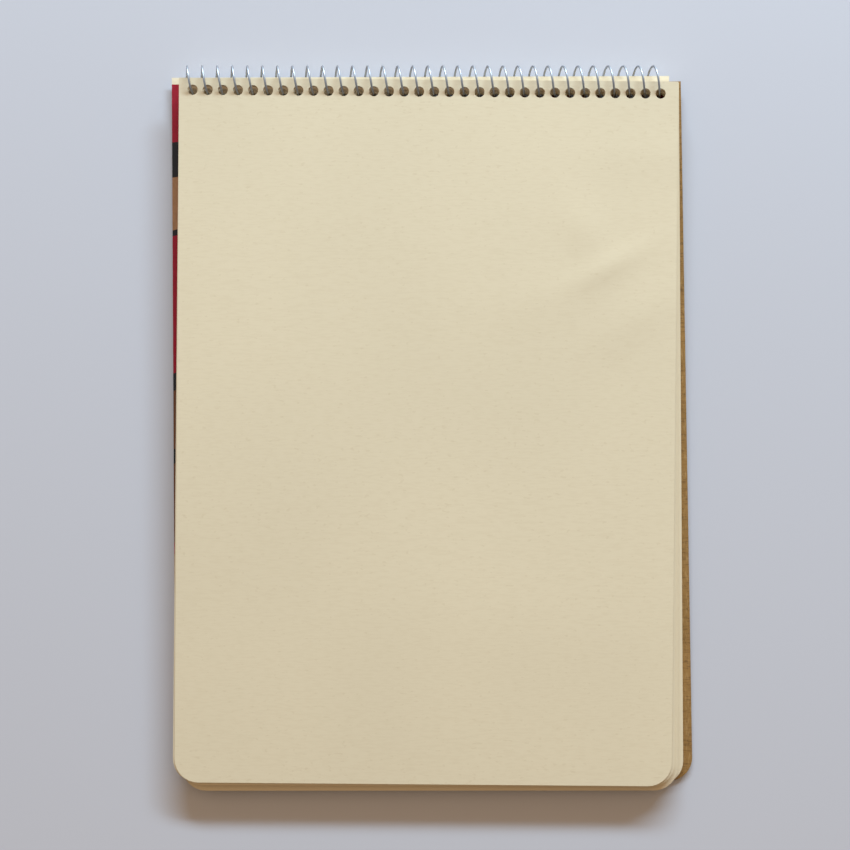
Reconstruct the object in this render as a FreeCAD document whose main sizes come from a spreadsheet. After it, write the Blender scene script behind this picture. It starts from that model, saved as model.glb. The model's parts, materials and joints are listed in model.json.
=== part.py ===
# A4 pad of drawing paper bound along its top edge by one wire coil.
# It lies face up, with its front cover turned round the coil and folded flat behind the back board.
#
# Frame: X runs along the coil, +Y points from the pad to the coil, and +Z is up.
# The origin is on the table, under the middle of the whole pad.
# All leaves are drawn in one leaf frame whose origin is on the coil's axis, and then tilted together.

import FreeCAD, Part
import math
import os

import Sketcher

DOC = FreeCAD.newDocument("wire_coil_pad")
VECTOR = FreeCAD.Vector
X_AXIS = VECTOR(1, 0, 0)
Z_AXIS = VECTOR(0, 0, 1)

# Driving dimensions, in millimetres and degrees.
SIZES = {
    # Coil
    "hole_count": 32,
    "hole_pitch": 6.35,
    "coil_radius": 6.25,
    "wire_diameter": 0.87,
    # Sheets
    "sheet_width": 210.0,
    "sheet_length": 297.0,
    "left_margin": 5.75,
    "bound_margin": 5.05,
    "corner_radius": 10.0,
    "page_hole_radius": 2.15,
    # How far the sheets of each deck stand above and below the coil's axis
    "page_level": 4.0,
    "top_deck_thickness": 0.4,
    "second_deck_thickness": 0.4,
    "third_deck_thickness": 2.0,
    "fourth_deck_thickness": 2.2,
    "fifth_deck_thickness": 1.9,
    # Where each deck has slid on the coil: along it, away from it, and turned
    "top_deck_slide": -0.2,
    "top_deck_drop": 5.2,
    "top_deck_turn": -0.43,
    "second_deck_slide": -0.28,
    "second_deck_drop": 5.35,
    "second_deck_turn": -0.6,
    "third_deck_slide": -0.1,
    "third_deck_drop": 6.2,
    "third_deck_turn": -0.2,
    "fourth_deck_slide": 0.3,
    "fourth_deck_drop": 7.5,
    "fourth_deck_turn": 0.05,
    "fifth_deck_slide": 1.0,
    "fifth_deck_drop": 6.1,
    "fifth_deck_turn": 0.45,
    "low_sheet_extra": 1.2,
    # Back board
    "board_thickness": 1.0,
    "board_extra_width": 1.05,
    "board_extra_length": 1.0,
    "board_bound_margin": 4.0,
    "board_slide": 1.1,
    "board_drop": 5.2,
    "board_turn": 0.65,
    "board_skew": 0.4,
    "cover_hole_radius": 2.3,
    # Front cover
    "cover_thickness": 0.35,
    "cover_gap": 0.15,
    "cover_extra_width": 2.0,
    "cover_extra_length": 4.0,
    "cover_left_margin": 6.2,
    "cover_bound_margin": 7.5,
    "cover_slide": -4.2,
    "cover_drop": 4.6,
    "cover_turn": 0.21,
}


def make_sheet():
    """Spreadsheet that holds every driving dimension under its own name."""
    sheet = DOC.addObject("Spreadsheet::Sheet", "sizes")
    for row, (name, value) in enumerate(SIZES.items(), start=1):
        sheet.set(f"A{row}", name)
        sheet.set(f"B{row}", str(value))
        sheet.setAlias(f"B{row}", name)
    DOC.recompute()
    return sheet


SHEET = make_sheet()


def size(name):
    """Value of one named dimension."""
    return float(SHEET.get(name))


def new_body(label):
    """Empty body with its own label."""
    body = DOC.addObject("PartDesign::Body", label)
    body.Label = label
    return body


def origin_plane(body, role):
    """One of the body's own origin planes."""
    return next(item for item in body.Origin.OriginFeatures if item.Role == role)


def bind(item, bindings):
    """Tie each property of an object to a formula in the named dimensions."""
    for path, formula in bindings.items():
        item.setExpression(path, formula)


def leaf_sketch(body, name, turn, leaf, level):
    """Sketch on a leaf's upper face. Its origin is the middle of the leaf's row of holes."""
    sketch = body.newObject("Sketcher::SketchObject", name)
    sketch.AttachmentSupport = (origin_plane(body, "XY_Plane"), [""])
    sketch.MapMode = "FlatFace"
    sketch.AttachmentOffset = FreeCAD.Placement(VECTOR(), FreeCAD.Rotation(Z_AXIS, 1.0))
    bind(sketch, {
        ".AttachmentOffset.Base.x": f"sizes.{leaf}_slide",
        ".AttachmentOffset.Base.y": f"-sizes.{leaf}_drop",
        ".AttachmentOffset.Base.z": level,
        ".AttachmentOffset.Rotation.Angle": turn,
    })
    return sketch


def draw_leaf_outline(sketch, width, length, left_margin, bound_margin):
    """Sheet with square corners at the coil and round corners at the foot."""
    left, right, top, foot, radius = -100.0, 100.0, 5.0, -290.0, 10.0
    quarter = math.pi / 2
    lines = [
        Part.LineSegment(VECTOR(left, top, 0), VECTOR(right, top, 0)),
        Part.LineSegment(VECTOR(right, top, 0), VECTOR(right, foot + radius, 0)),
        Part.LineSegment(VECTOR(right - radius, foot, 0), VECTOR(left + radius, foot, 0)),
        Part.LineSegment(VECTOR(left, foot + radius, 0), VECTOR(left, top, 0)),
    ]
    right_circle = Part.Circle(VECTOR(right - radius, foot + radius, 0), Z_AXIS, radius)
    left_circle = Part.Circle(VECTOR(left + radius, foot + radius, 0), Z_AXIS, radius)
    arcs = [
        Part.ArcOfCircle(right_circle, -quarter, 0),
        Part.ArcOfCircle(left_circle, -2 * quarter, -quarter),
    ]
    top_line, right_line, foot_line, left_line = sketch.addGeometry(lines, False)
    right_arc, left_arc = sketch.addGeometry(arcs, False)
    sketch.addConstraint([
        Sketcher.Constraint("Coincident", top_line, 2, right_line, 1),
        Sketcher.Constraint("Coincident", left_line, 2, top_line, 1),
        Sketcher.Constraint("Tangent", right_line, 2, right_arc, 2),
        Sketcher.Constraint("Tangent", foot_line, 1, right_arc, 1),
        Sketcher.Constraint("Tangent", foot_line, 2, left_arc, 2),
        Sketcher.Constraint("Tangent", left_line, 1, left_arc, 1),
        Sketcher.Constraint("Horizontal", top_line),
        Sketcher.Constraint("Vertical", right_line),
        Sketcher.Constraint("Vertical", left_line),
        Sketcher.Constraint("Horizontal", foot_line),
        Sketcher.Constraint("Equal", right_arc, left_arc),
    ])
    half_run = "(sizes.hole_count - 1) * sizes.hole_pitch / 2"
    dimensions = [
        ("width", Sketcher.Constraint("DistanceX", top_line, 1, top_line, 2, right - left), width),
        ("left_edge", Sketcher.Constraint("DistanceX", top_line, 1, -1, 1, -left),
         f"{half_run} + {left_margin}"),
        ("bound_edge", Sketcher.Constraint("DistanceY", -1, 1, top_line, 1, top), bound_margin),
        ("length", Sketcher.Constraint("DistanceY", foot_line, 1, top_line, 2, top - foot), length),
        ("corner", Sketcher.Constraint("Radius", right_arc, radius), "sizes.corner_radius"),
    ]
    for name, constraint, formula in dimensions:
        index = sketch.addConstraint(constraint)
        sketch.renameConstraint(index, name)
        sketch.setExpression(f"Constraints.{name}", formula)


def draw_first_hole(sketch, radius):
    """Leftmost hole of the row."""
    circle = sketch.addGeometry(Part.Circle(VECTOR(-95, 0, 0), Z_AXIS, 2.0), False)
    sketch.addConstraint(Sketcher.Constraint("PointOnObject", circle, 3, -1))
    place = sketch.addConstraint(Sketcher.Constraint("DistanceX", circle, 3, -1, 1, 95.0))
    sketch.renameConstraint(place, "first_hole")
    sketch.setExpression("Constraints.first_hole", "(sizes.hole_count - 1) * sizes.hole_pitch / 2")
    width = sketch.addConstraint(Sketcher.Constraint("Radius", circle, 2.0))
    sketch.renameConstraint(width, "hole_radius")
    sketch.setExpression("Constraints.hole_radius", radius)


def add_leaf(body, leaf, level, thickness, outline, hole_radius, skew="0"):
    """One flat leaf or deck of leaves, with its row of punched holes. The skew turns its outline."""
    turn = f"sizes.{leaf}_turn"
    outline_sketch = leaf_sketch(body, leaf + "_outline", f"{turn} + {skew}", leaf, level)
    draw_leaf_outline(outline_sketch, **outline)
    pad = body.newObject("PartDesign::Pad", leaf + "_pad")
    pad.Profile = outline_sketch
    pad.Reversed = True
    bind(pad, {"Length": thickness})
    DOC.recompute()

    hole_sketch = leaf_sketch(body, leaf + "_hole", turn, leaf, level)
    draw_first_hole(hole_sketch, hole_radius)
    pocket = body.newObject("PartDesign::Pocket", leaf + "_punch")
    pocket.Profile = hole_sketch
    bind(pocket, {"Length": thickness})
    DOC.recompute()

    row = body.newObject("PartDesign::LinearPattern", leaf + "_hole_row")
    row.Originals = [pocket]
    row.Direction = (hole_sketch, ["H_Axis"])
    bind(row, {
        "Length": "(sizes.hole_count - 1) * sizes.hole_pitch",
        "Occurrences": "sizes.hole_count",
    })
    body.Tip = row
    DOC.recompute()


DECKS = ["top_deck", "second_deck", "third_deck", "fourth_deck", "fifth_deck"]
LOW_DECKS = ["fourth_deck", "fifth_deck"]
BLOCK_FOOT = "(" + " - ".join(["sizes.page_level"] + [f"sizes.{deck}_thickness" for deck in DECKS]) + ")"


def make_page_block():
    """All the sheets as one solid, in five decks that have slid a little on the coil."""
    body = new_body("page_block")
    for index in reversed(range(len(DECKS))):
        deck = DECKS[index]
        above = [f"sizes.{name}_thickness" for name in DECKS[:index]]
        level = " - ".join(["sizes.page_level"] + above)
        length = "sizes.sheet_length"
        if deck in LOW_DECKS:
            length += " + sizes.low_sheet_extra"
        outline = {
            "width": "sizes.sheet_width",
            "length": length,
            "left_margin": "sizes.left_margin",
            "bound_margin": "sizes.bound_margin",
        }
        add_leaf(body, deck, level, f"sizes.{deck}_thickness", outline, "sizes.page_hole_radius")
    return body


def make_back_board():
    """Stiff board behind the sheets, cut slightly askew. It lies against their underside."""
    body = new_body("back_board")
    outline = {
        "width": "sizes.sheet_width + sizes.board_extra_width",
        "length": "sizes.sheet_length + sizes.board_extra_length",
        "left_margin": "sizes.left_margin",
        "bound_margin": "sizes.board_bound_margin",
    }
    add_leaf(body, "board", BLOCK_FOOT, "sizes.board_thickness", outline,
             "sizes.cover_hole_radius", skew="sizes.board_skew")
    return body


def make_front_cover():
    """Card cover, turned round the coil and folded behind the board."""
    body = new_body("front_cover")
    outline = {
        "width": "sizes.sheet_width + sizes.cover_extra_width",
        "length": "sizes.sheet_length + sizes.cover_extra_length",
        "left_margin": "sizes.cover_left_margin",
        "bound_margin": "sizes.cover_bound_margin",
    }
    level = BLOCK_FOOT + " - sizes.board_thickness - sizes.cover_gap"
    add_leaf(body, "cover", level, "sizes.cover_thickness", outline, "sizes.cover_hole_radius")
    return body


def make_spiral_wire(start_angle, end_angle):
    """Round wire wound right-handed about the X axis, from one end angle to the other."""
    body = new_body("spiral_wire")
    section = body.newObject("Sketcher::SketchObject", "wire_section")
    section.AttachmentSupport = (origin_plane(body, "XY_Plane"), [""])
    section.MapMode = "FlatFace"
    circle = section.addGeometry(Part.Circle(VECTOR(0, 6, 0), Z_AXIS, 0.4), False)
    section.addConstraint(Sketcher.Constraint("PointOnObject", circle, 3, -2))
    place = section.addConstraint(Sketcher.Constraint("DistanceY", -1, 1, circle, 3, 6.0))
    section.renameConstraint(place, "coil_radius")
    section.setExpression("Constraints.coil_radius", "sizes.coil_radius")
    width = section.addConstraint(Sketcher.Constraint("Radius", circle, 0.4))
    section.renameConstraint(width, "wire_radius")
    section.setExpression("Constraints.wire_radius", "sizes.wire_diameter / 2")
    DOC.recompute()

    coil = body.newObject("PartDesign::AdditiveHelix", "coil")
    coil.Profile = section
    coil.ReferenceAxis = (section, ["H_Axis"])
    coil.Mode = "pitch-turns-angle"
    turns = (end_angle - start_angle) / 360.0
    coil.LeftHanded = False
    bind(coil, {
        "Pitch": "sizes.hole_pitch",
        "Turns": f"sizes.hole_count - 1 + {turns!r}",
    })
    DOC.recompute()
    return body


def ring_angle(depth):
    """Angle round the coil, from the table side of the pad, of the wire at a depth below the axis."""
    return math.degrees(math.asin(depth / size("coil_radius")))


def leaf_tilt(ring_height, underside, reach):
    """Angle at which the pad leans, its foot on the table and its top edge held up by the coil."""
    return math.degrees(math.asin(ring_height / math.hypot(underside, reach))
                        - math.atan(underside / reach))


def check(bodies):
    """Stop if any object failed or any shape is empty or broken."""
    for item in DOC.Objects:
        if {"Invalid", "Error"} & set(item.State):
            raise RuntimeError(f"{item.Name} is {item.State}")
    for body in bodies:
        if body.Shape.isNull() or not body.Shape.isValid() or len(body.Shape.Solids) != 1:
            raise RuntimeError(f"{body.Label} has a broken shape")


# Levels in the leaf frame, measured down from the coil's axis
block_depth = sum(size(f"{deck}_thickness") for deck in DECKS) - size("page_level")
board_depth = block_depth + size("board_thickness")
cover_face = board_depth + size("cover_gap")
cover_underside = cover_face + size("cover_thickness")

# The wire starts inside the cover's first hole and ends inside the board's last one.
wire_start = -180.0 + ring_angle((cover_face + cover_underside) / 2 + size("wire_diameter") / 3)
wire_end = 180.0 + ring_angle((block_depth + board_depth) / 2)

page_block = make_page_block()
back_board = make_back_board()
front_cover = make_front_cover()
spiral_wire = make_spiral_wire(wire_start, wire_end)
leaves = [page_block, back_board, front_cover]

# The pad stands on the lowest turns of the coil and on the foot of the cover.
ring_height = size("coil_radius") + size("wire_diameter") / 2
cover_length = size("sheet_length") + size("cover_extra_length")
cover_reach = cover_length - size("cover_bound_margin") + size("cover_drop")
tilt = leaf_tilt(ring_height, cover_underside, cover_reach)

# At the middle of the sheets' depth the wire passes the middle of their holes.
half_run = (size("hole_count") - 1) * size("hole_pitch") / 2
wire_left = -half_run + size("hole_pitch") * (wire_start - 180.0) / 360.0

for leaf in leaves:
    leaf.Placement = FreeCAD.Placement(VECTOR(0, 0, ring_height), FreeCAD.Rotation(X_AXIS, tilt))
DOC.recompute()

corners = [vertex.Point for leaf in leaves for vertex in leaf.Shape.Vertexes]
middle_x = (min(point.x for point in corners) + max(point.x for point in corners)) / 2
middle_y = (min(point.y for point in corners) + ring_height) / 2
axis_place = VECTOR(-middle_x, -middle_y, ring_height)
wire_place = axis_place + VECTOR(wire_left, 0, 0)

for leaf in leaves:
    leaf.Placement = FreeCAD.Placement(axis_place, FreeCAD.Rotation(X_AXIS, tilt))
spiral_wire.Placement = FreeCAD.Placement(wire_place, FreeCAD.Rotation(X_AXIS, wire_start + tilt))
DOC.recompute()

parts = leaves + [spiral_wire]
check(parts)
os.makedirs("parts", exist_ok=True)
for part in parts:
    part.Shape.exportStep(f"parts/{part.Label}.step")
    print(part.Label, "volume", round(part.Shape.Volume, 1), "mm3")
print("coil axis at", [round(value, 3) for value in axis_place], "tilt", round(tilt, 4))
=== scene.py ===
import json
import math

import bpy
import numpy as np
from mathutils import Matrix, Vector


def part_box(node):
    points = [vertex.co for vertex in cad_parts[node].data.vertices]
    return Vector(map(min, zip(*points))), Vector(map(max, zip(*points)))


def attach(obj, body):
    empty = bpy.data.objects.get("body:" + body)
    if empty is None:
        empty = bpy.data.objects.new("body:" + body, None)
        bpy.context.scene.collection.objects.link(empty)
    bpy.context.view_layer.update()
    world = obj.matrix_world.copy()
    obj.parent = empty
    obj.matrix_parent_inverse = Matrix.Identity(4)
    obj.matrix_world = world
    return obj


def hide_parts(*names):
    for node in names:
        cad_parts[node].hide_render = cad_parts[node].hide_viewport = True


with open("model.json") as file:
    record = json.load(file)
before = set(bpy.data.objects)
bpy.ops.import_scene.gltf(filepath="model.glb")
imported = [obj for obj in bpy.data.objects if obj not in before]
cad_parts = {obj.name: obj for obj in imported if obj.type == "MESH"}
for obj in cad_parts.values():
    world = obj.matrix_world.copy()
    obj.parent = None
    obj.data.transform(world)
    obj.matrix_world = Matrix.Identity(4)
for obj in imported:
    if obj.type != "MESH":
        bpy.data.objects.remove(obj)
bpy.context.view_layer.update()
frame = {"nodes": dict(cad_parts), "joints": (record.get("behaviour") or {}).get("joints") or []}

bl_info = {
    "name": "Wire Coil Pad",
    "version": (1, 0, 0),
    "blender": (4, 5, 0),
    "location": "3D View > Sidebar > Coil Pad",
    "description": "Sheets, coil, board and printed cover of a top-bound drawing pad",
    "category": "Add Mesh",
}

MM = 0.001
COIL_AXIS = Vector(frame["joints"][0]["pos_m"])
PAD_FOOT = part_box("front_cover")[0].y
COVER_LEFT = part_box("front_cover")[0].x
SCREEN_GAMMA = 2.2
# Points of a sheet's plan that are nearer to each other than this become one point.
WELD_DISTANCE = 1e-8
# The sheets that lie on top of the stack.
TOP_SHEETS = 2


def screen(red, green, blue):
    """Linear colour of a screen colour that is given from 0 to 255."""
    return tuple((value / 255) ** SCREEN_GAMMA for value in (red, green, blue))


class PadSizes(bpy.types.PropertyGroup):
    """Sizes of the pad and of the camera's view.

    Those that the part's own source has too are the same there.
    """

    hole_count: bpy.props.IntProperty(
        name="Holes", description="Holes along the bound edge", default=32, min=2)
    hole_pitch: bpy.props.FloatProperty(
        name="Hole pitch", description="Distance from hole to hole",
        default=6.35 * MM, unit="LENGTH", precision=5)
    hole_radius: bpy.props.FloatProperty(
        name="Hole radius", description="Radius of a hole in the paper",
        default=2.15 * MM, unit="LENGTH", precision=5)
    row_middle: bpy.props.FloatProperty(
        name="Row middle", description="Place along X of the middle of the row of holes",
        default=-2.155 * MM, unit="LENGTH", precision=6)
    coil_radius: bpy.props.FloatProperty(
        name="Coil radius", description="From the coil's axis to the middle of the wire",
        default=6.25 * MM, unit="LENGTH", precision=5)
    wire_radius: bpy.props.FloatProperty(
        name="Wire radius", description="Half the wire's thickness",
        default=0.435 * MM, unit="LENGTH", precision=5)
    wire_start: bpy.props.FloatProperty(
        name="Wire start", description="Ring angle of the wire's left end",
        default=math.radians(-133.74), subtype="ANGLE")
    wire_end: bpy.props.FloatProperty(
        name="Wire end", description="Ring angle of the wire's right end in its last turn",
        default=math.radians(212.96), subtype="ANGLE")
    sheet_width: bpy.props.FloatProperty(
        name="Sheet width", description="Width of a sheet",
        default=210 * MM, unit="LENGTH")
    sheet_length: bpy.props.FloatProperty(
        name="Sheet length", description="Length of a sheet",
        default=297 * MM, unit="LENGTH")
    left_margin: bpy.props.FloatProperty(
        name="Left margin", description="From a sheet's left edge to its first hole",
        default=5.75 * MM, unit="LENGTH", precision=5)
    bound_margin: bpy.props.FloatProperty(
        name="Bound margin", description="From a sheet's bound edge to its row of holes",
        default=5.05 * MM, unit="LENGTH", precision=5)
    corner_radius: bpy.props.FloatProperty(
        name="Corner radius", description="Radius of the corners at the foot",
        default=10 * MM, unit="LENGTH")
    low_sheet_extra: bpy.props.FloatProperty(
        name="Low sheet extra", description="How much longer the lower sheets are",
        default=1.2 * MM, unit="LENGTH", precision=5)
    page_level: bpy.props.FloatProperty(
        name="Page level", description="Top sheet's face above the coil's axis",
        default=4 * MM, unit="LENGTH", precision=5)
    block_thickness: bpy.props.FloatProperty(
        name="Block thickness", description="Thickness of all the sheets together",
        default=6.9 * MM, unit="LENGTH", precision=5)
    sheet_count: bpy.props.IntProperty(
        name="Sheets", description="Sheets in the block", default=34, min=6)
    paper_thickness: bpy.props.FloatProperty(
        name="Paper thickness", description="Thickness of one sheet",
        default=0.185 * MM, unit="LENGTH", precision=6)
    cover_depth: bpy.props.FloatProperty(
        name="Cover depth", description="Cover's lower face below the coil's axis",
        default=4.4 * MM, unit="LENGTH", precision=5)
    cockle_height: bpy.props.FloatProperty(
        name="Cockle height", description="How far the top sheet lifts where it is cockled",
        default=0.5 * MM, unit="LENGTH", precision=6)
    photo_distance: bpy.props.FloatProperty(
        name="Camera height", description="Camera above the table",
        default=609.5 * MM, unit="LENGTH")
    photo_lens: bpy.props.FloatProperty(
        name="Lens", description="Focal length in millimetres on a 36 mm wide frame",
        default=60.3, min=1)


class PadColours(bpy.types.PropertyGroup):
    """Colours of the pad and of the table that it lies on."""

    paper: bpy.props.FloatVectorProperty(
        name="Paper", description="Cream drawing paper of the top sheets",
        default=screen(221, 210, 187), subtype="COLOR", size=3, min=0, max=1)
    paper_fibre: bpy.props.FloatVectorProperty(
        name="Paper fibre", description="Fibres and flecks in the top sheets",
        default=screen(186, 168, 138), subtype="COLOR", size=3, min=0, max=1)
    # Painted shade: a dark brown that stands for the shade on the sheets' cut edges and in their
    # holes, not the cream paper's own colour.
    painted_edge_shade: bpy.props.FloatVectorProperty(
        name="Cut edge", description="Cut edges of the top sheets and walls of their holes",
        default=screen(122, 96, 54), subtype="COLOR", size=3, min=0, max=1)
    board: bpy.props.FloatVectorProperty(
        name="Board", description="Brown back board",
        default=screen(150, 116, 72), subtype="COLOR", size=3, min=0, max=1)
    board_fibre: bpy.props.FloatVectorProperty(
        name="Board fibre", description="Dark fibres of the board",
        default=screen(100, 74, 48), subtype="COLOR", size=3, min=0, max=1)
    board_pale: bpy.props.FloatVectorProperty(
        name="Board pale fibre", description="Pale fibres of the board",
        default=screen(184, 152, 108), subtype="COLOR", size=3, min=0, max=1)
    board_speck: bpy.props.FloatVectorProperty(
        name="Board speck", description="Dark specks in the board",
        default=screen(96, 72, 48), subtype="COLOR", size=3, min=0, max=1)
    card: bpy.props.FloatVectorProperty(
        name="Bare card", description="Unprinted cover card",
        default=screen(232, 222, 200), subtype="COLOR", size=3, min=0, max=1)
    print_red: bpy.props.FloatVectorProperty(
        name="Dark red", description="Dark red of the cover's print",
        default=screen(150, 22, 46), subtype="COLOR", size=3, min=0, max=1)
    print_black: bpy.props.FloatVectorProperty(
        name="Black", description="Black of the cover's print",
        default=screen(32, 27, 27), subtype="COLOR", size=3, min=0, max=1)
    print_tan: bpy.props.FloatVectorProperty(
        name="Tan", description="Tan of the cover's print",
        default=screen(158, 116, 86), subtype="COLOR", size=3, min=0, max=1)
    print_brown: bpy.props.FloatVectorProperty(
        name="Brown", description="Brown of the cover's print",
        default=screen(104, 66, 46), subtype="COLOR", size=3, min=0, max=1)
    wire: bpy.props.FloatVectorProperty(
        name="Wire", description="Plated steel wire",
        default=screen(172, 174, 180), subtype="COLOR", size=3, min=0, max=1)
    floor: bpy.props.FloatVectorProperty(
        name="Floor", description="Pale table top",
        default=screen(194, 197, 212), subtype="COLOR", size=3, min=0, max=1)
    room: bpy.props.FloatVectorProperty(
        name="Room", description="Pale room that the camera and shiny things see",
        default=screen(240, 242, 248), subtype="COLOR", size=3, min=0, max=1)


def sizes():
    """The scene's size settings."""
    return bpy.context.scene.coil_pad_sizes


def colours():
    """The scene's colour settings."""
    return bpy.context.scene.coil_pad_colours


def leaf_tilt():
    """Lean of the pad between the coil and the cover's foot.

    arcsin(coil's outer radius / distance from axis to foot) - arctan(cover's depth / its reach)
    """
    depth = sizes().cover_depth
    outer_radius = sizes().coil_radius + sizes().wire_radius
    reach = math.sqrt((COIL_AXIS.y - PAD_FOOT) ** 2 + outer_radius ** 2 - depth ** 2)
    return math.asin(outer_radius / math.hypot(depth, reach)) - math.atan(depth / reach)


def to_room(points):
    """Points of the leaf frame, turned about the coil's axis by the lean and moved to the axis.

    (x, y cos a - z sin a, y sin a + z cos a) + axis
    """
    cosine, sine = math.cos(leaf_tilt()), math.sin(leaf_tilt())
    x, y, z = points[..., 0], points[..., 1], points[..., 2]
    turned = np.stack([x, y * cosine - z * sine, y * sine + z * cosine], axis=-1)
    return turned + np.array([sizes().row_middle, COIL_AXIS.y, COIL_AXIS.z])


def mesh_piece(name, points, quads, smooth):
    """New object at the origin, from an array of points and an array of four-sided faces."""
    mesh = bpy.data.meshes.new(name)
    mesh.vertices.add(len(points))
    mesh.vertices.foreach_set("co", points.astype(np.float32).ravel())
    mesh.loops.add(quads.size)
    mesh.loops.foreach_set("vertex_index", quads.astype(np.int32).ravel())
    mesh.polygons.add(len(quads))
    mesh.polygons.foreach_set("loop_start", np.arange(len(quads), dtype=np.int32) * 4)
    mesh.polygons.foreach_set("use_smooth", smooth)
    mesh.update(calc_edges=True)
    mesh.validate()
    piece = bpy.data.objects.new(name, mesh)
    bpy.context.scene.collection.objects.link(piece)
    return piece


def square_ring(segments, low, high, half_width):
    """Points round a cell's border, counterclockwise from its lower left corner.

    Each side is a straight line from corner to corner, cut into a quarter of the segments.
    """
    steps = np.arange(segments // 4) / (segments // 4)
    width, height = 2 * half_width * steps, (high - low) * steps
    border_x = np.concatenate([
        width - half_width, np.full_like(steps, half_width),
        half_width - width, np.full_like(steps, -half_width)])
    border_y = np.concatenate([
        np.full_like(steps, low), low + height,
        np.full_like(steps, high), high - height])
    return np.stack([border_x, border_y], axis=-1)


def hole_cells(segments, low, high):
    """Cells of the row of holes: straight spokes from each circle to its cell's border.

    point(i, t) = circle(i) + t (border(i) - circle(i)), repeated at each hole. The first spoke
    runs to the cell's lower left corner. One ring of points lies between circle and border.
    """
    first_angle = math.radians(-135)
    ring_share = 0.45
    size = sizes()
    half_pitch = size.hole_pitch / 2
    border = square_ring(segments, low, high, half_pitch)
    angles = first_angle + 2 * math.pi * np.arange(segments) / segments
    circle = size.hole_radius * np.stack([np.cos(angles), np.sin(angles)], axis=-1)
    spokes = np.stack([circle, circle + ring_share * (border - circle), border])
    centres = (np.arange(size.hole_count) - (size.hole_count - 1) / 2) * size.hole_pitch
    shifts = np.stack([centres, np.zeros_like(centres)], axis=-1)
    points = (spokes[None] + shifts[:, None, None]).reshape(-1, 2)
    ring, step, hole = np.meshgrid(
        np.arange(2), np.arange(segments), np.arange(size.hole_count), indexing="ij")
    inner = (hole * 3 + ring) * segments
    following = (step + 1) % segments
    quads = np.stack([
        inner + step, inner + segments + step,
        inner + segments + following, inner + following], axis=-1).reshape(-1, 4)
    return points, quads


def plain_grid(columns, rows):
    """Flat grid whose point (i, j) is at column i and row j. Rows run upwards."""
    across, up = np.meshgrid(columns, rows, indexing="ij")
    points = np.stack([across, up], axis=-1).reshape(-1, 2)
    i, j = np.meshgrid(np.arange(len(columns) - 1), np.arange(len(rows) - 1), indexing="ij")
    corner = (i * len(rows) + j).ravel()
    quads = np.stack([corner, corner + len(rows), corner + len(rows) + 1, corner + 1], axis=-1)
    return points, quads


def narrowed_foot(points, left, right, foot):
    """Rows drawn in round the corners at the foot: each side comes in by r - sqrt(r2 - d2).

    d is how far the row lies below the corner's centre.
    """
    radius = sizes().corner_radius
    below = np.clip(foot + radius - points[:, 1], 0, radius)
    inset = radius - np.sqrt(radius ** 2 - below ** 2)
    middle = (left + right) / 2
    narrowed = middle + (points[:, 0] - middle) * (1 - 2 * inset / (right - left))
    return np.stack([narrowed, points[:, 1]], axis=-1)


def welded(parts):
    """Several flat grids as one, with their common points welded."""
    offsets = np.cumsum([0] + [len(part[0]) for part in parts])
    points = np.concatenate([part[0] for part in parts])
    quads = np.concatenate([part[1] + offset for part, offset in zip(parts, offsets)])
    steps = np.round(points / WELD_DISTANCE).astype(np.int64)
    first, place = np.unique(steps, axis=0, return_index=True, return_inverse=True)[1:]
    return points[first], place.reshape(-1)[quads]


def sheet_plan(hole_segments, body_rows, corner_rows):
    """Plan of one sheet about the middle of its row of holes, as (points, quads).

    The cells of the holes, a strip at either side of them, and below them the body.
    """
    size = sizes()
    half_run = (size.hole_count - 1) * size.hole_pitch / 2
    left, right = -half_run - size.left_margin, size.sheet_width - half_run - size.left_margin
    high, low = size.bound_margin, -size.bound_margin
    foot = high - size.sheet_length
    cells_left, cells_right = -half_run - size.hole_pitch / 2, half_run + size.hole_pitch / 2
    per_side = hole_segments // 4
    columns = np.linspace(cells_left, cells_right, size.hole_count * per_side + 1)
    rows = np.linspace(low, high, per_side + 1)
    turn = np.linspace(math.pi / 2, 0, corner_rows + 1)
    corner = foot + size.corner_radius * (1 - np.sin(turn))
    body = np.linspace(foot + size.corner_radius, low, body_rows + 1)
    body_up = np.concatenate([corner, body[1:]])
    body_across = np.concatenate([[left], columns, [right]])
    body_points, body_quads = plain_grid(body_across, body_up)
    return welded([
        hole_cells(hole_segments, low, high),
        plain_grid(np.array([left, cells_left]), rows),
        plain_grid(np.array([cells_right, right]), rows),
        (narrowed_foot(body_points, left, right, foot), body_quads),
    ])


def open_edges(quads):
    """Directed edges that belong to one face only, with the face on their left."""
    edges = np.stack([quads, np.roll(quads, -1, axis=1)], axis=-1).reshape(-1, 2)
    place, count = np.unique(
        np.sort(edges, axis=1), axis=0, return_inverse=True, return_counts=True)[1:]
    return edges[count[place.reshape(-1)] == 1]


def closed_sheets(plan_points, plan_quads, top_points, bottom_points):
    """Quads of closed sheets, for arrays of tops and bottoms: faces above, below and round them.

    Returns (points, quads, which quads are faces of paper, which of those touch no cut edge).
    """
    sheets, per_sheet = top_points.shape[:2]
    edges = open_edges(plan_quads)
    start, end = edges[:, 0], edges[:, 1]
    walls = np.stack([start, start + per_sheet, end + per_sheet, end], axis=-1)
    one = np.concatenate([plan_quads, plan_quads[:, ::-1] + per_sheet, walls])
    flat = np.concatenate([np.ones(2 * len(plan_quads), bool), np.zeros(len(walls), bool)])
    inner = ~np.isin(plan_quads, edges).any(axis=1)
    inner = np.concatenate([inner, inner, np.zeros(len(walls), bool)])
    points = np.concatenate([top_points, bottom_points], axis=1).reshape(-1, 3)
    quads = (one[None] + 2 * per_sheet * np.arange(sheets)[:, None, None]).reshape(-1, 4)
    return points, quads, np.tile(flat, sheets), np.tile(inner, sheets)


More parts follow.
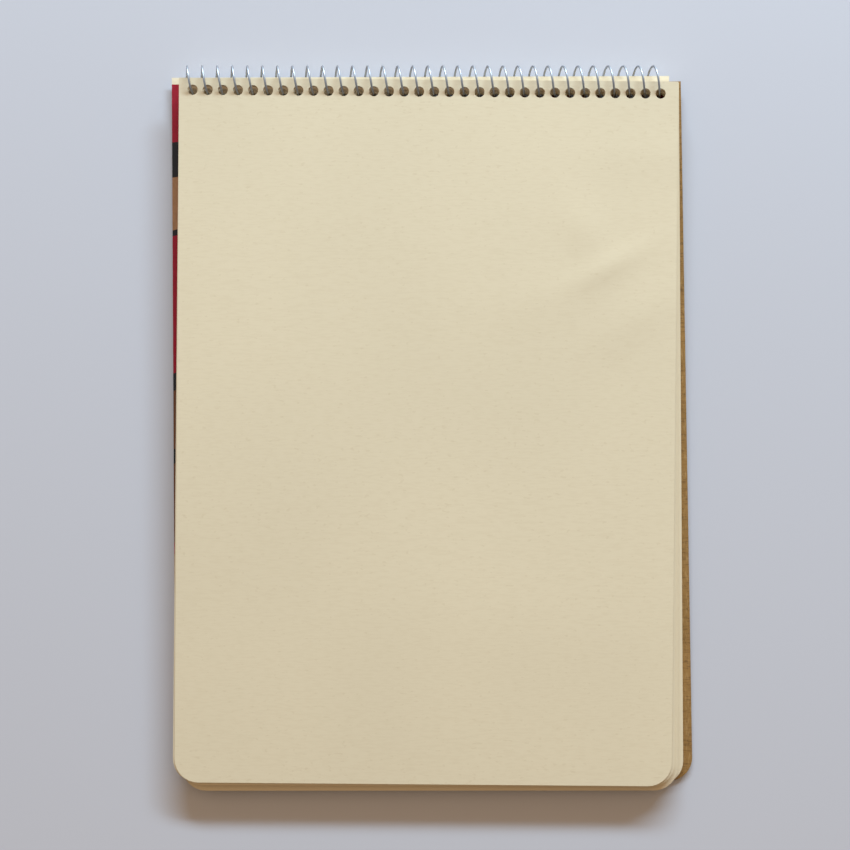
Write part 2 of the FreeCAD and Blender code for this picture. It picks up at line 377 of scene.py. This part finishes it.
# Where the sheets of the block have slid on the coil: for a sheet at each of these levels above
# the coil's axis, the slide along the coil, the drop away from it, both in mm, and the turn in
# degrees. The sheets lie in five loose groups, and between two levels they lie between the places.
FAN_LEVELS = (-2.9, -1.15, -1.0, 1.1, 1.25, 3.15, 3.25, 3.55, 3.65)
FAN_SLIDE = (1.05, 0.95, 0.35, 0.25, -0.05, -0.15, -0.28, -0.28, -0.2)
FAN_DROP = (6.05, 6.2, 7.5, 7.4, 6.4, 6.1, 5.35, 5.35, 5.2)
FAN_TURN = (0.46, 0.44, 0.07, 0.03, -0.17, -0.23, -0.58, -0.58, -0.47)
# How far single sheets stray from that: along the coil and away from it in mm, turned in degrees.
STRAY = 0.05
STRAY_TURN = 0.012
# Sheets below this level are the longer ones. The change runs over the depth. Both are in mm.
LONGER_BELOW = 1.3
LONGER_DEPTH = 0.2


def sheet_places(first, last):
    """Level, slide, drop, turn and extra length of each sheet of the block, top sheet first.

    The fan's own line, and on it a small offset that runs through the sheets as sines do. The top
    sheets have no such offset.
    """
    size = sizes()
    index = np.arange(first, last)
    level = size.page_level - size.block_thickness * index / size.sheet_count
    middle = (level - size.block_thickness / size.sheet_count / 2) / MM
    loose = np.where(index < TOP_SHEETS, 0.0, 1.0)
    slide_wave = np.sin(index * 2.3)
    drop_wave = np.sin(index * 3.7 + 1) - 1
    turn_wave = np.sin(index * 1.9 + 2)
    slide = np.interp(middle, FAN_LEVELS, FAN_SLIDE) + STRAY * loose * slide_wave
    drop = np.interp(middle, FAN_LEVELS, FAN_DROP) + STRAY * loose * drop_wave
    turn = np.interp(middle, FAN_LEVELS, FAN_TURN) + STRAY_TURN * loose * turn_wave
    extra = size.low_sheet_extra * np.clip((LONGER_BELOW - middle) / LONGER_DEPTH, 0, 1)
    return level, slide * MM, drop * MM, np.radians(turn), extra


def placed_sheets(plan, first, last):
    """Sheets of the block in the leaf frame, as (points of their tops, points of their bottoms).

    Each plan is stretched over a millimetre just below its middle, turned, and moved to its slide,
    drop and level.
    """
    level, slide, drop, turn, extra = (value[:, None] for value in sheet_places(first, last))
    half_length = sizes().sheet_length / 2
    x = plan[None, :, 0]
    y = plan[None, :, 1] - extra * np.clip(-plan[None, :, 1] - half_length, 0, MM) / MM
    across = slide + x * np.cos(turn) - y * np.sin(turn)
    along = -drop + x * np.sin(turn) + y * np.cos(turn)
    tops = np.stack([across, along, level + 0 * across], axis=-1)
    bottoms = np.stack([across, along, level - sizes().paper_thickness + 0 * across], axis=-1)
    return tops, bottoms


# Soft waves of the cockled top sheet: place in the leaf frame, length and width of each, in mm,
# direction in degrees, and height as a share of the cockle height.
COCKLES = (
    (76.0, -79.0, 17.0, 5.0, 28.0, 0.8),
    (66.0, -63.0, 13.0, 9.0, 118.0, 0.55),
    (88.0, -100.0, 22.0, 9.0, 35.0, 0.5),
    (52.0, -92.0, 26.0, 12.0, 15.0, 0.35),
    (96.0, -30.0, 12.0, 30.0, 90.0, 0.35),
    (-60.0, -180.0, 45.0, 25.0, 20.0, 0.25),
    (30.0, -230.0, 50.0, 22.0, -12.0, 0.3),
)
# The top sheet lies flat this near to the coil's axis, and the waves grow over the fade, in mm.
COCKLE_FREE = 12
COCKLE_FADE = 20


def cockle_lift(points):
    """Lift of the top sheet: a sum of long low mounds, each exp(-(a/length)2 - (b/width)2).

    a and b run along and across the mound. The lift fades to nothing near the coil.
    """
    x, y = points[..., 0] / MM, points[..., 1] / MM
    lift = np.zeros_like(x)
    for centre_x, centre_y, length, width, degrees, share in COCKLES:
        cosine, sine = math.cos(math.radians(degrees)), math.sin(math.radians(degrees))
        along = (x - centre_x) * cosine + (y - centre_y) * sine
        across = (y - centre_y) * cosine - (x - centre_x) * sine
        lift += share * np.exp(-(along / length) ** 2 - (across / width) ** 2)
    fade = np.clip((-y - COCKLE_FREE) / COCKLE_FADE, 0, 1)
    return sizes().cockle_height * lift * fade


def helix_tube(rings_per_turn, sides):
    """Round wire wound right-handed about X, with closed ends, as (points, quads, draw lines).

    centre(a) = (-run / 2 + pitch (a - 180) / 360, R cos a, R sin a). The ring about it has the
    wire's radius in the directions radial and tangent x radial. At each end the radius grows from
    nothing over the rings of the cap, whose places are in wire radii from the end. The draw lines
    are the place round the wire, and in mm along it.
    """
    size = sizes()
    start, end = size.wire_start, size.wire_end + 2 * math.pi * (size.hole_count - 1)
    run = (size.hole_count - 1) * size.hole_pitch
    angle = np.linspace(start, end, int((end - start) / (2 * math.pi) * rings_per_turn))
    rise = size.hole_pitch / (2 * math.pi)
    cap = size.wire_radius * np.array([0.0, 0.75, 1.0, 1.0])
    cap_at = np.array([0.0, 0.0, 0.12, 0.3]) * size.wire_radius / size.coil_radius
    angle = np.concatenate([start + cap_at, angle[1:-1], end - cap_at[::-1]])
    radius = np.concatenate([cap, np.full(len(angle) - 2 * len(cap), size.wire_radius), cap[::-1]])
    radial = np.stack([0 * angle, np.cos(angle), np.sin(angle)], axis=-1)
    centre = size.coil_radius * radial
    centre[:, 0] = -run / 2 + rise * (angle - math.pi)
    tangent = np.stack([
        np.full_like(angle, rise),
        -size.coil_radius * np.sin(angle), size.coil_radius * np.cos(angle)], axis=-1)
    tangent /= np.linalg.norm(tangent, axis=1, keepdims=True)
    side = np.cross(tangent, radial)
    around = 2 * math.pi * np.arange(sides) / sides
    ring = (np.cos(around)[None, :, None] * radial[:, None]
            + np.sin(around)[None, :, None] * side[:, None])
    points = (centre[:, None] + radius[:, None, None] * ring).reshape(-1, 3)
    i, j = np.meshgrid(np.arange(len(angle) - 1), np.arange(sides), indexing="ij")
    here, beside = i * sides + j, i * sides + (j + 1) % sides
    quads = np.stack([here, beside, beside + sides, here + sides], axis=-1).reshape(-1, 4)
    length = size.coil_radius * (angle - start)
    lines = np.stack([
        np.broadcast_to(np.cos(around), (len(angle), sides)),
        np.broadcast_to(np.sin(around), (len(angle), sides)),
        np.broadcast_to(length[:, None] / MM, (len(angle), sides))], axis=-1).reshape(-1, 3)
    return points, quads, lines


def new_material(name):
    """Empty node material, as (material, its nodes' tree, its surface shader)."""
    material = bpy.data.materials.new(name)
    material.use_nodes = True
    return material, material.node_tree, material.node_tree.nodes["Principled BSDF"]


def add(tree, kind, inputs=None, **settings):
    """New node with its settings, and its inputs filled with values or other nodes' outputs."""
    node = tree.nodes.new(kind)
    for setting, value in settings.items():
        setattr(node, setting, value)
    for socket, value in (inputs or {}).items():
        if isinstance(value, bpy.types.NodeSocket):
            tree.links.new(value, node.inputs[socket])
        else:
            node.inputs[socket].default_value = value
    return node


def ramp(tree, factor, stops, interpolation="LINEAR"):
    """Colour ramp over a factor. Each stop is (position, colour)."""
    node = add(tree, "ShaderNodeValToRGB", {"Fac": factor})
    line = node.color_ramp
    line.interpolation = interpolation
    while len(line.elements) < len(stops):
        line.elements.new(1.0)
    for element, (position, colour) in zip(line.elements, stops):
        element.position = position
        element.color = (*colour, 1)
    return node.outputs["Color"]


def grey(value):
    """Grey as a colour of three equal parts."""
    return (value, value, value)


def maths(tree, operation, *values):
    """Output of a math node over one or two numbers or outputs."""
    return add(tree, "ShaderNodeMath", dict(enumerate(values)), operation=operation).outputs[0]


def stretched_noise(tree, scale, detail, turn=0.0):
    """Noise on Object coordinates. The scale is cycles a metre along X, Y and Z."""
    coordinates = add(tree, "ShaderNodeTexCoord").outputs["Object"]
    place = add(tree, "ShaderNodeMapping", {
        "Vector": coordinates, "Rotation": (0, 0, turn), "Scale": scale})
    noise = add(tree, "ShaderNodeTexNoise", {
        "Vector": place.outputs["Vector"], "Scale": 1.0, "Detail": detail})
    return noise.outputs["Fac"]


def tones(tree, scale, detail, low, high, turn=0.0):
    """Greys that follow a stretched noise. Low and high are each (noise value, grey)."""
    noise = stretched_noise(tree, scale, detail, turn)
    return ramp(tree, noise, ((low[0], grey(low[1])), (high[0], grey(high[1]))))


def mixed(tree, factor, first, second, blend="MIX"):
    """Two colours mixed by a factor. Each is an output or a colour of three parts.

    For colours the mix node takes its inputs 0, 6 and 7 and gives its output 2.
    """
    node = add(tree, "ShaderNodeMix", data_type="RGBA", blend_type=blend)
    for number, value in ((0, factor), (6, first), (7, second)):
        socket = node.inputs[number]
        if isinstance(value, bpy.types.NodeSocket):
            tree.links.new(value, socket)
        elif isinstance(value, (int, float)):
            socket.default_value = value
        else:
            socket.default_value = (*value, 1)
    return node.outputs[2]


def bump(tree, shader, height, strength, distance):
    """Bump on a shader's normal. The distance is the relief's real depth."""
    node = add(tree, "ShaderNodeBump", {
        "Height": height, "Strength": strength, "Distance": distance})
    tree.links.new(node.outputs["Normal"], shader.inputs["Normal"])


def mark_cut_edges(piece, flat):
    """Attribute that is 1 on the cut edges of paper, which get painted shade, and 0 on its faces.
    """
    edge = piece.data.attributes.new("painted_edge_shade", "FLOAT", "FACE")
    if len(edge.data) != len(flat):
        raise RuntimeError("the sheets' mesh lost faces")
    edge.data.foreach_set("value", (~flat).astype(np.float32))


def paper_material():
    """Paper of the top sheets: fine dashes along X, a few flecks, a slight tone and a tooth.

    Its cut edges and the walls of its holes are painted dark brown as shade.
    """
    fibre_share = 0.11
    fleck_share = 0.16
    material, tree, shader = new_material("drawing_paper")
    shade = colours()
    tone = tones(tree, (11, 9, 11), 1.0, (0.35, 0.965), (0.65, 1.0))
    dashes = tones(tree, (240, 1250, 1250), 1.5, (0.42, 0.0), (0.72, 1.0))
    flecks = tones(tree, (520, 900, 900), 0.0, (0.74, 0.0), (0.79, 1.0))
    base = mixed(tree, 1.0, shade.paper, tone, "MULTIPLY")
    fibres = mixed(tree, dashes, base, shade.paper_fibre)
    with_fibres = mixed(tree, fibre_share, base, fibres)
    flecked = mixed(tree, flecks, with_fibres, shade.paper_fibre)
    coloured = mixed(tree, fleck_share, with_fibres, flecked)
    # Painted shade: the cut edges and hole walls take the dark brown edge colour in place of the
    # paper's.
    edge_shade_mask = add(tree, "ShaderNodeAttribute", attribute_name="painted_edge_shade").outputs["Fac"]
    tree.links.new(mixed(tree, edge_shade_mask, coloured, shade.painted_edge_shade), shader.inputs["Base Color"])
    rough = tones(tree, (90, 90, 90), 2.0, (0.3, 0.78), (0.7, 0.9))
    tree.links.new(rough, shader.inputs["Roughness"])
    shader.inputs["Specular IOR Level"].default_value = 0.25
    tooth = stretched_noise(tree, (1500, 2600, 2600), 2.0)
    bump(tree, shader, tooth, strength=0.25, distance=0.05 * MM)
    return material


def board_material():
    """Brown chipboard: dark fibres one way, pale ones the other, dark specks, layered edges."""
    dark_share = 0.6
    pale_share = 0.4
    material, tree, shader = new_material("grey_brown_board")
    shade = colours()
    mottle = tones(tree, (60, 60, 60), 3.0, (0.3, 0.86), (0.7, 1.06))
    base = mixed(tree, 1.0, shade.board, mottle, "MULTIPLY")
    one_way = tones(tree, (260, 1500, 5000), 2.0, (0.5, 0.0), (0.68, 1.0), turn=0.3)
    other_way = tones(tree, (1500, 300, 5000), 2.0, (0.52, 0.0), (0.7, 1.0), turn=0.5)
    fibres = mixed(tree, one_way, base, shade.board_fibre)
    dark = mixed(tree, dark_share, base, fibres)
    fibres = mixed(tree, other_way, dark, shade.board_pale)
    pale = mixed(tree, pale_share, dark, fibres)
    specks = tones(tree, (800, 800, 800), 0.0, (0.7, 0.0), (0.82, 0.5))
    tree.links.new(mixed(tree, specks, pale, shade.board_speck), shader.inputs["Base Color"])
    shader.inputs["Roughness"].default_value = 0.88
    shader.inputs["Specular IOR Level"].default_value = 0.2
    relief = stretched_noise(tree, (700, 1100, 3000), 3.0)
    bump(tree, shader, relief, strength=0.5, distance=0.1 * MM)
    return material


def from_axis(tree):
    """Distance from the coil's axis towards the foot, in metres, and place along X."""
    coordinates = add(tree, "ShaderNodeTexCoord").outputs["Object"]
    parts = add(tree, "ShaderNodeSeparateXYZ", {"Vector": coordinates}).outputs
    return maths(tree, "SUBTRACT", COIL_AXIS.y, parts["Y"]), parts["X"]


# Bands of the cover's print: where each starts, in mm below the coil's axis, and its colour. Waves
# shift the borders.
PRINT_BANDS = (
    (0, "print_red"), (24, "print_black"), (39.5, "print_tan"), (62, "print_black"),
    (64.5, "print_red"), (123, "print_black"), (131, "print_brown"), (156, "print_black"),
    (162, "print_brown"), (196, "print_red"), (201, "print_tan"), (232, "print_black"),
    (238, "print_red"), (279, "print_black"),
)
# The length in mm that the bands' ramp stands for.
PRINT_LENGTH = 320
# Waves of the bands' borders: radians a metre along X, and height for each metre below the axis.
PRINT_WAVE = 42.0
PRINT_SWELL = 0.09
# Discs of the print, in metres: place along X, distance below the axis, radius, and the colour.
PRINT_DISCS = (
    (0.045, 0.0945, 0.021, "print_tan"),
    (0.045, 0.0945, 0.013, "print_black"),
    (-0.035, 0.147, 0.0105, "print_tan"),
    (0.0, 0.147, 0.0105, "print_red"),
    (0.035, 0.147, 0.0105, "print_tan"),
    (-0.05, 0.258, 0.014, "print_tan"),
    (-0.05, 0.258, 0.008, "print_black"),
)
# The print starts this far below the axis, in metres.
PRINT_START = 0.0003


def cover_material():
    """Printed card: bands of dark red, black, tan and brown with wavy borders, discs on them.

    The printed side is the one that faces up at rest. The other side, the cut edges and a strip
    along the bound edge are bare card.
    """
    material, tree, shader = new_material("printed_card")
    shade = colours()
    distance, across = from_axis(tree)
    inwards = maths(tree, "SUBTRACT", across, COVER_LEFT)
    wave = maths(tree, "SINE", maths(tree, "MULTIPLY", inwards, PRINT_WAVE))
    swell = maths(tree, "MULTIPLY", distance, PRINT_SWELL)
    height = maths(tree, "ADD", distance, maths(tree, "MULTIPLY", wave, swell))
    part = maths(tree, "DIVIDE", height, PRINT_LENGTH * MM)
    stops = [(start / PRINT_LENGTH, getattr(shade, name)) for start, name in PRINT_BANDS]
    colour = ramp(tree, part, stops, "CONSTANT")
    spot = add(tree, "ShaderNodeCombineXYZ", {"X": across, "Y": distance}).outputs[0]
    for disc_x, disc_distance, radius, name in PRINT_DISCS:
        reach = add(tree, "ShaderNodeVectorMath", {0: spot, 1: (disc_x, disc_distance, 0)},
                    operation="DISTANCE").outputs["Value"]
        inside = maths(tree, "LESS_THAN", reach, radius)
        colour = mixed(tree, inside, colour, getattr(shade, name))
    grain = tones(tree, (700, 700, 700), 2.0, (0.35, 0.9), (0.65, 1.06))
    printed = mixed(tree, 1.0, colour, grain, "MULTIPLY")
    normal = add(tree, "ShaderNodeTexCoord").outputs["Normal"]
    facing = add(tree, "ShaderNodeSeparateXYZ", {"Vector": normal}).outputs["Z"]
    upper = maths(tree, "GREATER_THAN", facing, 0.5)
    inked = maths(tree, "GREATER_THAN", distance, PRINT_START)
    is_print = maths(tree, "MULTIPLY", upper, inked)
    flecks = tones(tree, (300, 700, 700), 2.0, (0.4, 0.94), (0.6, 1.0))
    bare = mixed(tree, 1.0, shade.card, flecks, "MULTIPLY")
    tree.links.new(mixed(tree, is_print, bare, printed), shader.inputs["Base Color"])
    rough = mixed(tree, is_print, grey(0.8), grey(0.55))
    tree.links.new(rough, shader.inputs["Roughness"])
    shader.inputs["Specular IOR Level"].default_value = 0.3
    relief = stretched_noise(tree, (1100, 1100, 1100), 2.0)
    bump(tree, shader, relief, strength=0.25, distance=0.04 * MM)
    return material


def wire_material():
    """Plated steel wire with faint draw marks that run along it."""
    material, tree, shader = new_material("coil_wire")
    lines = add(tree, "ShaderNodeAttribute", attribute_name="draw_lines").outputs["Vector"]
    place = add(tree, "ShaderNodeMapping", {"Vector": lines, "Scale": (5.0, 5.0, 0.12)})
    marks = add(tree, "ShaderNodeTexNoise", {
        "Vector": place.outputs["Vector"], "Scale": 1.0, "Detail": 3.0}).outputs["Fac"]
    tone = ramp(tree, marks, ((0.35, grey(0.82)), (0.65, grey(1.0))))
    tree.links.new(mixed(tree, 1.0, colours().wire, tone, "MULTIPLY"), shader.inputs["Base Color"])
    rough = ramp(tree, marks, ((0.3, grey(0.4)), (0.7, grey(0.52))))
    tree.links.new(rough, shader.inputs["Roughness"])
    shader.inputs["Metallic"].default_value = 1.0
    bump(tree, shader, marks, strength=0.15, distance=0.02 * MM)
    return material


def floor_material():
    """Pale matt table top, a little cloudy."""
    material, tree, shader = new_material("table_top")
    cloud = tones(tree, (2.2, 2.2, 2.2), 1.0, (0.3, 0.975), (0.7, 1.0))
    colour = mixed(tree, 1.0, colours().floor, cloud, "MULTIPLY")
    tree.links.new(colour, shader.inputs["Base Color"])
    shader.inputs["Roughness"].default_value = 0.7
    shader.inputs["Specular IOR Level"].default_value = 0.3
    return material


def dress(piece, material, body):
    """Give a piece its material and its body."""
    piece.data.materials.append(material)
    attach(piece, body)


def sheets_piece(name, plan, plan_quads, tops, bottoms, paper):
    """Piece of closed paper sheets, which stands for a share of the CAD model's pages."""
    points, quads, flat, inner = closed_sheets(plan, plan_quads, tops, bottoms)
    piece = mesh_piece(name, to_room(points), quads, inner)
    mark_cut_edges(piece, flat)
    dress(piece, paper, "pages")
    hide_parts("page_block")


def repaint(node, material):
    """Give a CAD node's object a new material in each of its slots."""
    for place in frame["nodes"][node].material_slots:
        place.material = material


class COILPAD_OT_top_sheets(bpy.types.Operator):
    """Make the two sheets on top, the upper one slightly cockled"""

    bl_idname = "coilpad.top_sheets"
    bl_label = "Top sheets"

    def execute(self, context):
        plan, quads = sheet_plan(hole_segments=24, body_rows=92, corner_rows=8)
        tops, bottoms = placed_sheets(plan, 0, TOP_SHEETS)
        lift = cockle_lift(tops[0])
        tops[0, :, 2] += lift
        bottoms[0, :, 2] += lift
        sheets_piece("top_sheets", plan, quads, tops, bottoms, paper_material())
        return {"FINISHED"}


class COILPAD_OT_stacked_sheets(bpy.types.Operator):
    """Make the sheets under the top ones, fanned out a little on the coil"""

    bl_idname = "coilpad.stacked_sheets"
    bl_label = "Stacked sheets"

    def execute(self, context):
        plan, quads = sheet_plan(hole_segments=12, body_rows=1, corner_rows=8)
        # The top sheets' paper, whose painted shade on the marked cut edges also darkens the
        # stack's edges and hole walls.
        paper = bpy.data.materials["drawing_paper"]
        last = sizes().sheet_count
        half = TOP_SHEETS + (last - TOP_SHEETS) // 2
        upper = placed_sheets(plan, TOP_SHEETS, half)
        lower = placed_sheets(plan, half, last)
        sheets_piece("upper_stack", plan, quads, *upper, paper)
        sheets_piece("lower_stack", plan, quads, *lower, paper)
        return {"FINISHED"}


class COILPAD_OT_coil(bpy.types.Operator):
    """Wind the wire coil through the holes"""

    bl_idname = "coilpad.coil"
    bl_label = "Wire coil"

    def execute(self, context):
        points, quads, lines = helix_tube(rings_per_turn=56, sides=14)
        piece = mesh_piece("wire_coil", to_room(points), quads, np.ones(len(quads), bool))
        marks = piece.data.attributes.new("draw_lines", "FLOAT_VECTOR", "POINT")
        if len(marks.data) != len(lines):
            raise RuntimeError("the coil's mesh lost points")
        marks.data.foreach_set("vector", lines.astype(np.float32).ravel())
        dress(piece, wire_material(), "pages")
        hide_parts("spiral_wire")
        return {"FINISHED"}


class COILPAD_OT_back_board(bpy.types.Operator):
    """Finish the back board as brown chipboard"""

    bl_idname = "coilpad.back_board"
    bl_label = "Back board"

    def execute(self, context):
        repaint("back_board", board_material())
        return {"FINISHED"}


class COILPAD_OT_front_cover(bpy.types.Operator):
    """Print the front cover"""

    bl_idname = "coilpad.front_cover"
    bl_label = "Front cover"

    def execute(self, context):
        repaint("front_cover", cover_material())
        return {"FINISHED"}


# The table top reaches this far from the origin each way, in metres.
FLOOR_REACH = 2.0
# The long lamp beyond the coil: its sides and its place in metres, its power and its colour.
LAMP_SIDES = (2.1, 0.2)
LAMP_PLACE = (0.36, 1.88, 0.84)
LAMP_WATTS = 88.0
LAMP_COLOUR = (0.7, 0.9, 1.0)
# The warm fill's colour. Its strength and the seen room's go with how far a direction points
# along Y: from one value of that to the other, the strength goes from the third to the fourth.
FILL_COLOUR = (1.0, 0.7, 0.42)
FILL_STRENGTH = (-1.0, 1.0, 0.08, 0.88)
ROOM_STRENGTH = (-0.8, 0.6, 0.25, 0.95)
# The camera's place over the pad, in metres.
CAMERA_X = -3.07 * MM
CAMERA_Y = 1.63 * MM


class COILPAD_OT_stage(bpy.types.Operator):
    """Set the table, the lamps and the camera"""

    bl_idname = "coilpad.stage"
    bl_label = "Stage"

    def execute(self, context):
        lines = np.linspace(-FLOOR_REACH, FLOOR_REACH, 9)
        flat, quads = plain_grid(lines, lines)
        points = np.concatenate([flat, np.zeros((len(flat), 1))], axis=1)
        floor = mesh_piece("table_top", points, quads, np.zeros(len(quads), bool))
        floor.data.materials.append(floor_material())
        self.light(context.scene)
        self.camera(context.scene)
        return {"FINISHED"}

    def light(self, scene):
        """One long cool lamp beyond the coil, and a warm fill, dimmer from the foot's side."""
        scene.view_settings.view_transform = "Standard"
        scene.world = self.sky()
        lamp = bpy.data.lights.new("window", "AREA")
        lamp.shape = "RECTANGLE"
        lamp.size, lamp.size_y = LAMP_SIDES
        lamp.energy = LAMP_WATTS
        lamp.color = LAMP_COLOUR
        holder = bpy.data.objects.new("window", lamp)
        holder.location = Vector(LAMP_PLACE)
        holder.rotation_mode = "QUATERNION"
        holder.rotation_quaternion = (-holder.location).to_track_quat("-Z", "Y")
        scene.collection.objects.link(holder)

    def sky(self):
        """World that fills with warm light and is seen pale, both darker on the foot's side."""
        world = bpy.data.worlds.new("soft_room")
        world.use_nodes = True
        tree = world.node_tree
        fill = tree.nodes["Background"]
        fill.inputs["Color"].default_value = (*FILL_COLOUR, 1)
        tree.links.new(self.strength(tree, FILL_STRENGTH), fill.inputs["Strength"])
        seen = add(tree, "ShaderNodeBackground", {
            "Color": (*colours().room, 1), "Strength": self.strength(tree, ROOM_STRENGTH)})
        ray = add(tree, "ShaderNodeLightPath").outputs
        shiny = maths(tree, "MAXIMUM", ray["Is Glossy Ray"], ray["Is Transmission Ray"])
        direct = maths(tree, "MAXIMUM", ray["Is Camera Ray"], shiny)
        both = add(tree, "ShaderNodeMixShader", {
            0: direct, 1: fill.outputs[0], 2: seen.outputs[0]})
        tree.links.new(both.outputs[0], tree.nodes["World Output"].inputs["Surface"])
        return world

    def strength(self, tree, line):
        """Strength of the world that goes with how far a direction points along Y."""
        direction = add(tree, "ShaderNodeTexCoord").outputs["Generated"]
        beyond = add(tree, "ShaderNodeSeparateXYZ", {"Vector": direction}).outputs["Y"]
        ends = dict(zip(("From Min", "From Max", "To Min", "To Max"), line))
        return add(tree, "ShaderNodeMapRange", {"Value": beyond, **ends}).outputs["Result"]

    def camera(self, scene):
        """Camera straight above the pad, as in the photograph."""
        view = bpy.data.cameras.new("photo_camera")
        view.lens = sizes().photo_lens
        view.sensor_width = 36.0
        holder = bpy.data.objects.new("photo_camera", view)
        holder.location = Vector((CAMERA_X, CAMERA_Y, sizes().photo_distance))
        scene.collection.objects.link(holder)
        scene.camera = holder


OPERATORS = (
    COILPAD_OT_top_sheets,
    COILPAD_OT_stacked_sheets,
    COILPAD_OT_coil,
    COILPAD_OT_back_board,
    COILPAD_OT_front_cover,
    COILPAD_OT_stage,
)


class COILPAD_PT_panel(bpy.types.Panel):
    """Sizes, colours and pieces of the pad"""

    bl_label = "Wire Coil Pad"
    bl_idname = "COILPAD_PT_panel"
    bl_space_type = "VIEW_3D"
    bl_region_type = "UI"
    bl_category = "Coil Pad"

    def draw(self, context):
        layout = self.layout
        for group in (sizes(), colours()):
            box = layout.box()
            for name in group.bl_rna.properties.keys():
                if name not in ("rna_type", "name"):
                    box.prop(group, name)
        for operator in OPERATORS:
            layout.operator(operator.bl_idname)


CLASSES = (PadSizes, PadColours, *OPERATORS, COILPAD_PT_panel)


def register():
    """Add the classes and the scene's settings."""
    for item in CLASSES:
        bpy.utils.register_class(item)
    bpy.types.Scene.coil_pad_sizes = bpy.props.PointerProperty(type=PadSizes)
    bpy.types.Scene.coil_pad_colours = bpy.props.PointerProperty(type=PadColours)


def unregister():
    """Remove the scene's settings and the classes."""
    del bpy.types.Scene.coil_pad_colours
    del bpy.types.Scene.coil_pad_sizes
    for item in reversed(CLASSES):
        bpy.utils.unregister_class(item)


def main():
    """Make every piece."""
    register()
    bpy.ops.coilpad.top_sheets()
    bpy.ops.coilpad.stacked_sheets()
    bpy.ops.coilpad.coil()
    bpy.ops.coilpad.back_board()
    bpy.ops.coilpad.front_cover()
    bpy.ops.coilpad.stage()


if __name__ == "__main__":
    main()
